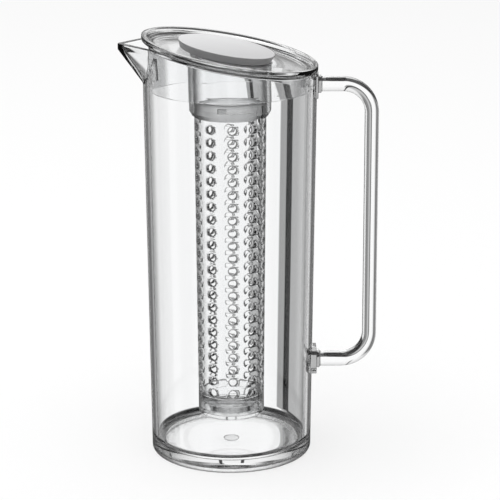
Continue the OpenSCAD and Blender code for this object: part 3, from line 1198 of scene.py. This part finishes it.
@dataclass
class Handle:
    """The solid D-shaped bar with a collar at each root.

    Both sections are given by their width, height and corner radius.
    """

    collar: Triple = (0.0135, 0.0113, 0.0045)
    collar_thick: float = 0.0022
    collar_sizes: Triple = (0.0003, 0.0006, 0.0009)
    bar: Triple = (0.0115, 0.0093, 0.004)
    lead: float = 0.006  # from a collar to the next plain section
    upright: float = 0.0948
    bend: float = 0.0194
    bend_steps: int = 30
    clear: float = 0.00003  # gap that keeps the collar's face off the pad's
    finish: Finish = CollaredPlastic("clear_handle")

    def build(self) -> bpy.types.Object:
        """Carries a rounded rectangle along the D, with wider sections for the collars.

        A section at the path's point P, with the path's normal N in the X-Z plane, is
        P + u N + v Y for each outline point (v, u).

        Returns:
            The dressed piece.
        """
        x, z, angle = self.path()
        bars = len(x) - 4
        sections = [self.collar] * 2 + [self.bar] * bars + [self.collar] * 2
        outline = rounded_outline(*np.array(sections).T)
        normal = np.stack([np.cos(angle), 0 * angle, np.sin(angle)], -1)[:, None, :]
        centre = np.stack([x, 0 * x, z], -1)[:, None, :]
        keys = centre + outline[..., 1:] * normal + outline[..., :1] * np.array([0.0, 1.0, 0.0])
        keys = np.concatenate([centre[:1] + 0 * keys[:1], keys, centre[-1:] + 0 * keys[-1:]])
        sizes = [0.0, *self.collar_sizes, *[0.0] * (bars - 2), *self.collar_sizes[::-1], 0.0]
        piece = Patchwork().grid(filleted(keys, sizes, 6)).piece("clear_handle")
        return dress(piece, self.finish, "jug", "handle")

    def path(self) -> tuple[Array, Array, Array]:
        """Key points of the D: an arm, a quarter circle and half the grip, then the same mirrored.

        Returns:
            Arrays of x, z and the normal's angle, from the top root round to the bottom root.
        """
        root = PAD_FACE + self.collar_thick
        arm = np.array([PAD_FACE + self.clear, root, root, root + self.lead])
        swing = np.linspace(math.pi / 2, 0, self.bend_steps)
        top, low = PAD_HEIGHTS[0] - self.bend, PAD_HEIGHTS[1] + self.bend
        grip = np.linspace(top, low, 8)[1:-1]
        half_x = np.concatenate([arm, self.upright - self.bend + self.bend * np.cos(swing)])
        half_z = np.concatenate([0 * arm + PAD_HEIGHTS[0], top + self.bend * np.sin(swing)])
        half_angle = np.concatenate([0 * arm + math.pi / 2, swing])
        x = np.concatenate([half_x, 0 * grip + self.upright, half_x[::-1]])
        z = np.concatenate([half_z, grip, sum(PAD_HEIGHTS) - half_z[::-1]])
        return x, z, np.concatenate([half_angle, 0 * grip, -half_angle[::-1]])


@dataclass
class Lid:
    """The slanted lid: flange, dish, slotted skirt, and the neck with its bayonet slots."""

    dish_height: float = 0.2765
    flange_top: float = 0.2805
    flange_under: float = 0.2771
    dish_under: float = 0.2741
    flange_radius: float = 0.0587
    dish_radii: Pair = (0.0515, 0.057)
    dish_depth: float = 0.004
    under_radii: Pair = (0.054, 0.052)  # where the skirt meets flange and dish, roughly
    skirt_low: Pair = (0.0534, 0.2547)
    skirt_wall: float = 0.0018
    skirt_flare: float = 0.0308
    neck: Pair = (0.0275, 0.0247)
    neck_low: float = 0.2363
    chamfer: Pair = (0.0019, 0.0034)
    pour_slot: Triple = (0.0046, 0.015, 0.0009)
    pour_depth: Pair = (0.0495, 0.0565)
    pour_middle: float = 0.2672
    pour_step: float = 8.5
    pour_count: int = 5
    run: Pair = (0.2420, 0.2456)
    lug_half: float = 6.696
    twist: float = 60.0
    slot_radii: Pair = (0.0237, 0.0261)
    slot_clear: float = 0.001  # how far the cutting blocks stand out under the neck
    bearings: int = 400
    finish: Finish = RimmedPlastic("clear_lid")

    def skirt_radius(self, height: Any) -> Any:
        """Outer radius of the skirt at a height."""
        return self.skirt_low[0] + self.skirt_flare * (height - self.skirt_low[1])

    def build(self) -> bpy.types.Object:
        """Builds the lid as one closed profile round the axis, then cuts its slots.

        Returns:
            The dressed piece.
        """
        turn = np.linspace(0, FULL_TURN, self.bearings, endpoint=False)
        foot = (0.0, 0.0, self.dish_height)
        far, near = (RISE * radius * np.cos(turn) for radius in self.under_radii)
        out_under = self.skirt_radius(self.flange_under - far)
        in_under = self.skirt_radius(self.dish_under - near) - self.skirt_wall
        skirt_low, skirt_height = self.skirt_low
        neck_out, neck_in = self.neck
        keys = [
            level(neck_in, self.neck_low, turn),
            leaning(neck_in, self.dish_height, turn),
            tilted(self.dish_radii[0], 0.0, turn, foot),
            tilted(self.dish_radii[1], self.dish_depth, turn, foot),
            leaning(self.flange_radius, self.flange_top, turn),
            leaning(self.flange_radius, self.flange_under, turn),
            leaning(out_under, self.flange_under, turn),
            level(skirt_low, skirt_height, turn),
            level(skirt_low - self.skirt_wall, skirt_height, turn),
            leaning(in_under, self.dish_under, turn),
            leaning(neck_out, self.dish_under, turn),
            level(neck_out, self.neck_low + self.chamfer[1], turn),
            level(neck_out - self.chamfer[0], self.neck_low, turn),
        ]
        sizes = np.array([25, 50, 120, 50, 60, 50, 40, 50, 50, 90, 80, 40, 25]) * 1e-5
        piece = Patchwork().grid(filleted(keys, sizes, 6), wrap_rows=True).piece("clear_lid")
        combined(piece, self.pour_tools() + self.lug_tools(), Joining.CUT)
        return dress(piece, self.finish, "lid", "lid")

    def pour_tools(self) -> list[bpy.types.Object]:
        """Blocks that cut the pouring slots through the skirt behind the spout.

        Returns:
            The blocks.
        """
        outline = rounded_outline(*self.pour_slot, arc=5, inset=0.0002)[0]
        places = np.arange(self.pour_count) - (self.pour_count - 1) / 2
        return [
            prism(f"pour_{i}", outline, self.pour_depth, bearing, self.pour_middle)
            for i, bearing in enumerate(np.radians(180 + places * self.pour_step))
        ]

    def lug_tools(self) -> list[bpy.types.Object]:
        """L-shaped blocks that cut the bayonet slots inside the neck: a run and a way in.

        Returns:
            The blocks.
        """
        tools = []
        heights = np.array([self.neck_low - self.slot_clear, *self.run])
        for i, middle in enumerate(LUG_BEARINGS):
            first = middle - self.lug_half
            entry = first + self.twist
            way_in = np.linspace(entry, entry + 2 * self.lug_half, 4)
            bearings = np.concatenate([np.linspace(first, entry, 13), way_in[1:]])
            filled = np.ones((2, len(bearings) - 1), bool)
            filled[0] = bearings[:-1] >= entry - 1e-6
            tools.append(curved_blocks(f"lug_slot_{i}", bearings, heights, filled, self.slot_radii))
        return tools


def curved_blocks(
    name: str, bearings: Array, heights: Array, filled: Array, radii: tuple[float, float]
) -> bpy.types.Object:
    """A closed block between two radii that fills some cells of a grid of bearings and heights.

    Each filled cell gives its inner and outer face, and a side face wherever its neighbour is
    empty.

    Args:
        name: the object's name.
        bearings: the grid's bearings, in degrees.
        heights: the grid's heights.
        filled: which cells are filled, shaped (heights - 1, bearings - 1).
        radii: inner and outer radius.

    Returns:
        The block.
    """
    turn = np.radians(bearings)
    sheets = [np.stack([level(r, z, turn) for z in heights]) for r in radii]
    patch = Patchwork()
    ring = np.pad(filled, 1)
    for i, j in np.argwhere(filled):
        corners = [sheet[i : i + 2, j : j + 2] for sheet in sheets]
        patch.grid(corners[0], wrap_points=False).grid(corners[1], wrap_points=False)
        for empty, pick in (
            (~ring[i, j + 1], (0, slice(None))),
            (~ring[i + 2, j + 1], (1, slice(None))),
            (~ring[i + 1, j], (slice(None), 0)),
            (~ring[i + 1, j + 2], (slice(None), 1)),
        ):
            if empty:
                patch.grid(np.stack([corners[0][pick], corners[1][pick]]), wrap_points=False)
    return patch.piece(name)


@dataclass
class NeckCap:
    """The slanted grey disc with the hollow plug that fills the neck's mouth."""

    plane: float = 0.2768
    offset: float = 0.003
    thickness: float = 0.0052
    top_radius: float = 0.0328
    under_radius: float = 0.0307
    plug: Triple = (0.0244, 0.0224, 0.005)
    bearings: int = 288
    finish: Finish = SatinGrey("satin_grey_cap")

    def build(self) -> bpy.types.Object:
        """Builds the cap as one profile from the top's middle round to the inside's middle.

        Returns:
            The dressed piece.
        """
        turn = np.linspace(0, FULL_TURN, self.bearings, endpoint=False)
        foot = (-self.offset, 0.0, self.plane + RISE * self.offset)
        outer, inner, depth = self.plug
        end = self.plane - depth
        disc = [(share * self.top_radius, self.thickness) for share in (0.0, 0.7, 1.0)]
        disc += [(self.under_radius, 0.0)]
        plug = [(outer, self.plane), (outer, end), (inner, end), (inner, self.plane)]
        plug += [(0.0, self.plane)]
        keys = [tilted(*key, turn, foot) for key in disc] + [leaning(*key, turn) for key in plug]
        sizes = (0, 0, 0.001, 0.0003, 0.0004, 0.0004, 0.0004, 0.0008, 0)
        piece = Patchwork().grid(filleted(keys, sizes, 8)).piece("grey_neck_cap")
        return dress(piece, self.finish, "neck_cap", "neck_cap")


@dataclass
class InfuserTube:
    """The perforated tube with three bayonet lugs and a beaded spigot for its end cap."""

    low: float = 0.0415
    top: float = 0.2475
    low_radius: float = 0.0226
    top_radius: float = 0.02435
    wall: float = 0.002
    holes: Holes = Holes()
    hole: float = 0.0025
    hole_round: float = 0.0005
    shoulder: float = 0.0423
    spigot: Triple = (0.0208, 0.0191, 0.0310)
    bead: Triple = (0.02105, 0.03565, 0.03685)
    lug_radii: Pair = (0.02433, 0.0258)
    lug_heights: Pair = (0.2423, 0.2453)
    lug_half: float = 6.0
    sides: int = 32
    finish: Finish = DrilledPlastic("clear_infuser")

    def radius(self, height: Any) -> Any:
        """Outer radius of the tapered tube at a height."""
        share = (height - self.low) / (self.top - self.low)
        return self.low_radius + (self.top_radius - self.low_radius) * share

    def cells(self, patch: Patchwork) -> Array:
        """Adds the perforated wall: one square cell round each hole, on both faces of the wall.

        In a cell, the direction (cos a, sin a) runs from the hole's circle to the cell's edge,
        where it is stretched to the square by dividing by the larger of its two parts. A point's
        bearing is the column's plus asin(offset / radius) on the circle, blended to the cell's half
        angle.

        Args:
            patch: the mesh that is being made.

        Returns:
            The bearings of the points along a level edge of the cells, in radians.
        """
        holes = self.holes
        a = np.arange(self.sides) * FULL_TURN / self.sides
        c, s = np.cos(a), np.sin(a)
        largest = np.maximum(np.abs(c), np.abs(s))
        half = math.pi / holes.columns
        columns = holes.start + np.arange(holes.columns)[:, None] * 2 * half
        row, column = np.divmod(np.arange(holes.rows * holes.columns), holes.columns)
        row, bearing = row[:, None], columns[column]
        middle = holes.first_row + row * holes.pitch

        def ring(share: float, hole: float, depth: float, low: float) -> Array:
            """One ring of all cells, between the hole's circle and the cell's edge.

            Args:
                share: how far it lies from the circle to the edge, from 0 to 1.
                hole: the circle's radius.
                depth: how far it lies under the tube's outer face.
                low: height at which the lowest cells end.

            Returns:
                The rings, shaped (cells, points, 3).
            """
            below = np.where(row == 0, holes.first_row - low, holes.pitch / 2)
            edge_up = np.where(s > 0, holes.pitch / 2, below) * s / largest
            z = middle + (1 - share) * hole * s + share * edge_up
            r = self.radius(z) - depth
            t = bearing + (1 - share) * np.arcsin(hole * c / r) + share * half * c / largest
            return level(r, z, t)

        wide, lip = self.hole + self.hole_round, self.hole_round
        steps = [(1.0, wide, 0.0), (0.5, wide, 0.0), (0.0, wide, 0.0)]
        steps += [(0.0, self.hole + 0.3 * lip, 0.3 * lip), (0.0, self.hole, lip)]
        rings = [ring(*step, self.low) for step in steps]
        for share, hole, depth in steps[::-1]:
            rings.append(ring(share, hole, self.wall - depth, self.shoulder))
        for cell in np.stack(rings, 1):
            patch.grid(cell)
        edge = half * (c / largest)[(s > 0) & (np.abs(s) >= np.abs(c) - 1e-9)]
        edge = np.sort(np.unique(np.round(edge, 9)))[:-1]
        return (columns + edge).ravel()

    def lugs(self, patch: Patchwork) -> None:
        """Adds the lugs: a rounded rectangle carried round the tube, closed at both ends.

        Args:
            patch: the mesh that is being made.
        """
        (inner, outer), (low, high) = self.lug_radii, self.lug_heights
        corners = ((inner, low), (outer, low), (outer, high), (inner, high))
        for middle in LUG_BEARINGS:
            span = np.radians(np.linspace(middle - self.lug_half, middle + self.lug_half, 9))
            loop = [level(*corner, span) for corner in corners]
            rows = filleted(loop, (0.0002, 0.0004, 0.0004, 0.0002), 4)
            patch.grid(rows, True, False)
            for end in (rows[:, :1], rows[:, -1:]):
                centre = end.mean(0, keepdims=True) + 0 * end
                patch.grid(np.concatenate([end, centre], 1), True, False)

    def build(self) -> bpy.types.Object:
        """Builds the perforated wall, then the rim above it, the spigot below it and the lugs.

        Returns:
            The dressed piece.
        """
        patch = Patchwork()
        turn = self.cells(patch)
        last = self.holes.first_row + (self.holes.rows - 0.5) * self.holes.pitch
        outer = [(self.radius(last), last), (self.top_radius, self.top)]
        inner = [(radius - self.wall, height) for radius, height in outer[::-1]]
        rim = [level(*key, turn) for key in outer + inner]
        patch.grid(filleted(rim, (0, 0.0005, 0.0005, 0), 6))
        out, bore, end = self.spigot
        bead, bead_low, bead_high = self.bead
        spigot = [(self.low_radius, self.low), (out, self.low), (out, bead_high)]
        spigot += [(bead, bead_high - 0.0002), (bead, bead_low + 0.0002), (out, bead_low)]
        spigot += [(out, end), (bore, end), (bore, self.shoulder)]
        spigot += [(self.radius(self.shoulder) - self.wall, self.shoulder)]
        sizes = np.array([0, 3, 1, 1, 1, 1, 3, 3, 2, 0]) * 1e-4
        patch.grid(filleted([level(*key, turn) for key in spigot], sizes, 5))
        self.lugs(patch)
        piece = patch.piece("clear_infuser_tube")
        return dress(piece, self.finish, "infuser", "infuser_tube")


@dataclass
class EndCap:
    """The cup that closes the tube's lower end."""

    radius: float = 0.0226
    bore: float = 0.0211
    low: float = 0.0265
    floor: float = 0.0290
    top: float = 0.0412
    edge: float = 0.0014
    bearings: int = 240
    finish: Finish = ClearPlastic("clear_end_cap")

    def build(self) -> bpy.types.Object:
        """Builds the cup as one profile from its underside's middle round to its floor's middle.

        Returns:
            The dressed piece.
        """
        turn = np.linspace(0, FULL_TURN, self.bearings, endpoint=False)
        keys = [(share * self.radius, self.low) for share in (0.0, 0.6, 1.0)]
        keys += [(self.radius, self.top), (self.bore, self.top), (self.bore, self.floor)]
        keys += [(share * self.radius, self.floor) for share in (0.6, 0.0)]
        sizes = (0, 0, self.edge, 0.0003, 0.0003, 0.0008, 0, 0)
        rows = filleted([level(*key, turn) for key in keys], sizes, 7)
        piece = Patchwork().grid(rows).piece("clear_end_cap")
        return dress(piece, self.finish, "end_cap", "infuser_end_cap")


# ---- the studio ----


@dataclass(frozen=True)
class Surround:
    """The world: white to the camera, panels to clear surfaces, soft light to the rest.

    Clear plastic shows only what it bends and mirrors. The surround has a pale panel behind each
    of eight sides, with a black edge on its right and grey beyond it, as a studio's panels have.
    Angles are in degrees from a panel's middle, and heights are a direction's z, from -1 to 1.

    Attributes:
        half: half the angle of a side.
        left: (angle, brightness) pairs of the panel.
        right: the same of what lies beyond its edges.
        edges: angle of each edge on the right, and how far it leans towards the foot.
        line: brightness of the black edge.
        beyond: brightness of the grey next to it.
        blur: width of each edge.
        lean: heights between which the edges start to lean.
        upper: heights between which the panels end and the upper band starts.
        upper_tone: brightness of the upper band, and how much darker its two lines are.
        upper_lines: angles where a line starts, is complete, starts to end and ends.
        floor_dark: heights where the dark band under the panels starts, is complete, and ends.
        floor_tone: how much darker that band is.
        overhead: heights between which the open white above starts.
        under: heights between which the open white below ends.
        mirror: brightness that is mirrored from below and from above.
        mirror_rise: heights between which that changes.
        sky: brightness of the soft light from below and from above.
        sky_rise: heights between which that changes.
    """

    half: float = 22.5
    left: tuple[Pair, ...] = (
        (-22.5, 0.12),
        (-19.0, 0.16),
        (-16.0, 0.40),
        (-13.0, 0.75),
        (-10.0, 0.95),
        (-8.0, 1.0),
    )
    right: tuple[Pair, ...] = (
        (5.2, 0.42),
        (8.0, 0.50),
        (10.0, 0.58),
        (13.0, 0.38),
        (17.0, 0.20),
        (22.4, 0.35),
    )
    edges: tuple[Pair, Pair, Pair] = ((3.45, 2.0), (4.35, 3.0), (5.45, 0.0))
    line: float = 0.001
    beyond: float = 0.34
    blur: float = 0.15
    lean: Pair = (-0.50, -0.38)
    upper: Pair = (0.0, 0.12)
    upper_tone: Pair = (0.92, 0.85)
    upper_lines: tuple[float, float, float, float] = (4.4, 4.7, 6.0, 6.4)
    floor_dark: tuple[float, float, float, float] = (-0.76, -0.72, -0.46, -0.42)
    floor_tone: float = 0.93
    overhead: Pair = (0.62, 0.75)
    under: Pair = (-0.85, -0.78)
    mirror: Pair = (0.08, 1.0)
    mirror_rise: Pair = (0.02, 0.24)
    sky: Pair = (0.576, 0.9)
    sky_rise: Pair = (-0.1, 0.9)

    def share(self, angle: Number) -> Number:
        """Place of an angle on a side, from 0 to 1."""
        return (angle + self.half) / (2 * self.half)

    def tones(self, angle: Value, pairs: Sequence[Pair]) -> Value:
        """Brightness at an angle, in straight lines between given pairs.

        Args:
            angle: the angle.
            pairs: (angle, brightness) pairs in rising order.

        Returns:
            The brightness.
        """
        stops = [(self.share(place), tone) for place, tone in pairs]
        sockets = {"Fac": self.share(angle)}
        return angle.graph.value("ShaderNodeValToRGB", {"stops": stops}, sockets)

    def panels(self, x: Value, y: Value, z: Value) -> Value:
        """What clear surfaces see through themselves, by the ray's direction.

        Args:
            x: the direction's x.
            y: its y.
            z: its z.

        Returns:
            The brightness.
        """
        angle = (x.graph.math("ARCTAN2", x, y) * (180 / math.pi)).wrapped(self.half)
        low = z.ramp(*self.lean, 1.0, 0.0)
        seen = self.tones(angle, self.left)
        right = self.tones(angle, self.right)
        for (edge, lean), tone in zip(self.edges, (self.beyond, self.line, right)):
            past = angle + lean * low if lean else angle
            seen = seen.mixed(tone, past.ramp(edge, edge + self.blur))
        start, full, fall, end = self.upper_lines
        lines = abs(angle).ramp(start, full) * abs(angle).ramp(fall, end, 1.0, 0.0)
        pale, darker = self.upper_tone
        seen = seen.mixed(pale - darker * lines, z.ramp(*self.upper))
        start, full, fall, end = self.floor_dark
        seen = seen * (1.0 - self.floor_tone * (z.ramp(fall, end, 1.0, 0.0) * z.ramp(start, full)))
        return seen.mixed(1.0, z.ramp(*self.overhead).at_least(z.ramp(*self.under, 1.0, 0.0)))

    def build(self) -> None:
        """Builds the world."""
        world = bpy.data.worlds.new("surround")
        bpy.context.scene.world = world
        world.use_nodes = True
        graph = Graph(world.node_tree)
        x, y, z = graph.axes(graph.value("ShaderNodeTexCoord", output="Generated"))
        through = graph.ray("Transmission")
        glossy = graph.ray("Glossy") * (1.0 - through)
        shown = z.ramp(*self.sky_rise, *self.sky).mixed(self.panels(x, y, z), through)
        shown = shown.mixed(z.ramp(*self.mirror_rise, *self.mirror), glossy)
        shown = shown.mixed(1.0, graph.ray("Camera"))
        colour = graph.colour(shown, shown, shown)
        light = graph.value("ShaderNodeBackground", None, {"Color": colour, "Strength": 1.0})
        graph.add("ShaderNodeOutputWorld", None, {"Surface": light})


@dataclass
class Studio:
    """White ground, soft light from above and the camera, placed as the photo was taken.

    Attributes:
        distance: from the camera to the point that it circles.
        elevation: the camera's angle above that point, in radians.
        focal: focal length, in pixels of the photo.
        frame: the photo's width, in pixels.
        sensor: the camera's sensor width, in millimetres.
        clip: nearest and farthest distance that it sees.
        aim: the small angles by which it is turned, tilted and rolled.
        middle: height of the point that it circles.
        floor_half: half the floor's side.
        floor_drop: how far the floor lies under the foot.
        lamp_place: where the lamp hangs.
        lamp_size: its two sides.
        lamp_power: its power, in watts.
        lamp_aim: height of the point on the axis that it lights.
        bounces: how often a ray may bend or pass on.
    """

    distance: float = 1.560966
    elevation: float = 0.285187418
    focal: float = 2294.51
    frame: float = 500.0
    sensor: float = 36.0
    clip: Pair = (0.05, 60.0)
    aim: Triple = (0.008401038, 0.000836524, -0.001632239)
    middle: float = 0.140
    floor_half: float = 6.0
    floor_drop: float = 2e-4
    lamp_place: Triple = (-0.7, -0.7, 4.0)
    lamp_size: Pair = (4.0, 3.0)
    lamp_power: float = 56.0
    lamp_aim: float = 0.15
    bounces: int = 40

    def camera(self) -> None:
        """Places the camera on its orbit, turned, tilted and rolled by the fitted small angles."""
        e, (yaw, tilt, roll) = self.elevation, self.aim
        place = Vector((0, -self.distance * math.cos(e), self.middle + self.distance * math.sin(e)))
        ahead = Vector((0, math.cos(e), -math.sin(e)))
        right = Vector((1, 0, 0))
        ahead = (ahead + yaw * right + tilt * right.cross(ahead)).normalized()
        right = ahead.cross(Vector((0, 0, 1))).normalized()
        up = right.cross(ahead)
        turned = math.cos(roll) * right + math.sin(roll) * up
        up = math.cos(roll) * up - math.sin(roll) * right
        data = bpy.data.cameras.new("camera")
        data.sensor_width = self.sensor
        data.lens = self.focal / self.frame * self.sensor
        data.clip_start, data.clip_end = self.clip
        camera = bpy.data.objects.new("camera", data)
        axes = Matrix((turned, up, -ahead)).transposed()
        camera.matrix_world = Matrix.Translation(place) @ axes.to_4x4()
        bpy.context.scene.collection.objects.link(camera)
        bpy.context.scene.camera = camera

    def floor(self) -> None:
        """Lays one square of floor, just under the foot."""
        mesh = bpy.data.meshes.new("floor")
        signs = ((-1, -1), (1, -1), (1, 1), (-1, 1))
        corners = [(x * self.floor_half, y * self.floor_half, -self.floor_drop) for x, y in signs]
        mesh.from_pydata(corners, [], [(0, 1, 2, 3)])
        mesh.materials.append(PaleFloor("pale_floor").build())
        floor = bpy.data.objects.new("floor", mesh)
        bpy.context.scene.collection.objects.link(floor)

    def lamp(self) -> None:
        """Hangs one broad soft lamp overhead, a little in front of the object."""
        data = bpy.data.lights.new("overhead", "AREA")
        data.shape, (data.size, data.size_y) = "RECTANGLE", self.lamp_size
        data.energy = self.lamp_power
        lamp = bpy.data.objects.new("overhead", data)
        lamp.location = self.lamp_place
        aim = Vector((0, 0, self.lamp_aim)) - lamp.location
        lamp.rotation_euler = aim.to_track_quat("-Z", "Y").to_euler()
        bpy.context.scene.collection.objects.link(lamp)

    def build(self) -> None:
        """Sets the camera, the light and the ground."""
        scene = bpy.context.scene
        scene.view_settings.view_transform = "Standard"
        scene.cycles.max_bounces = self.bounces
        scene.cycles.transmission_bounces = self.bounces
        scene.cycles.transparent_max_bounces = self.bounces
        self.camera()
        Surround().build()
        self.floor()
        self.lamp()


def main() -> None:
    logging.basicConfig(level=logging.INFO, format="%(name)s: %(message)s")
    Studio().build()
    for part in (Jug(), Handle(), Lid(), NeckCap(), InfuserTube(), EndCap()):
        part.build()


if __name__ == "__main__":
    main()
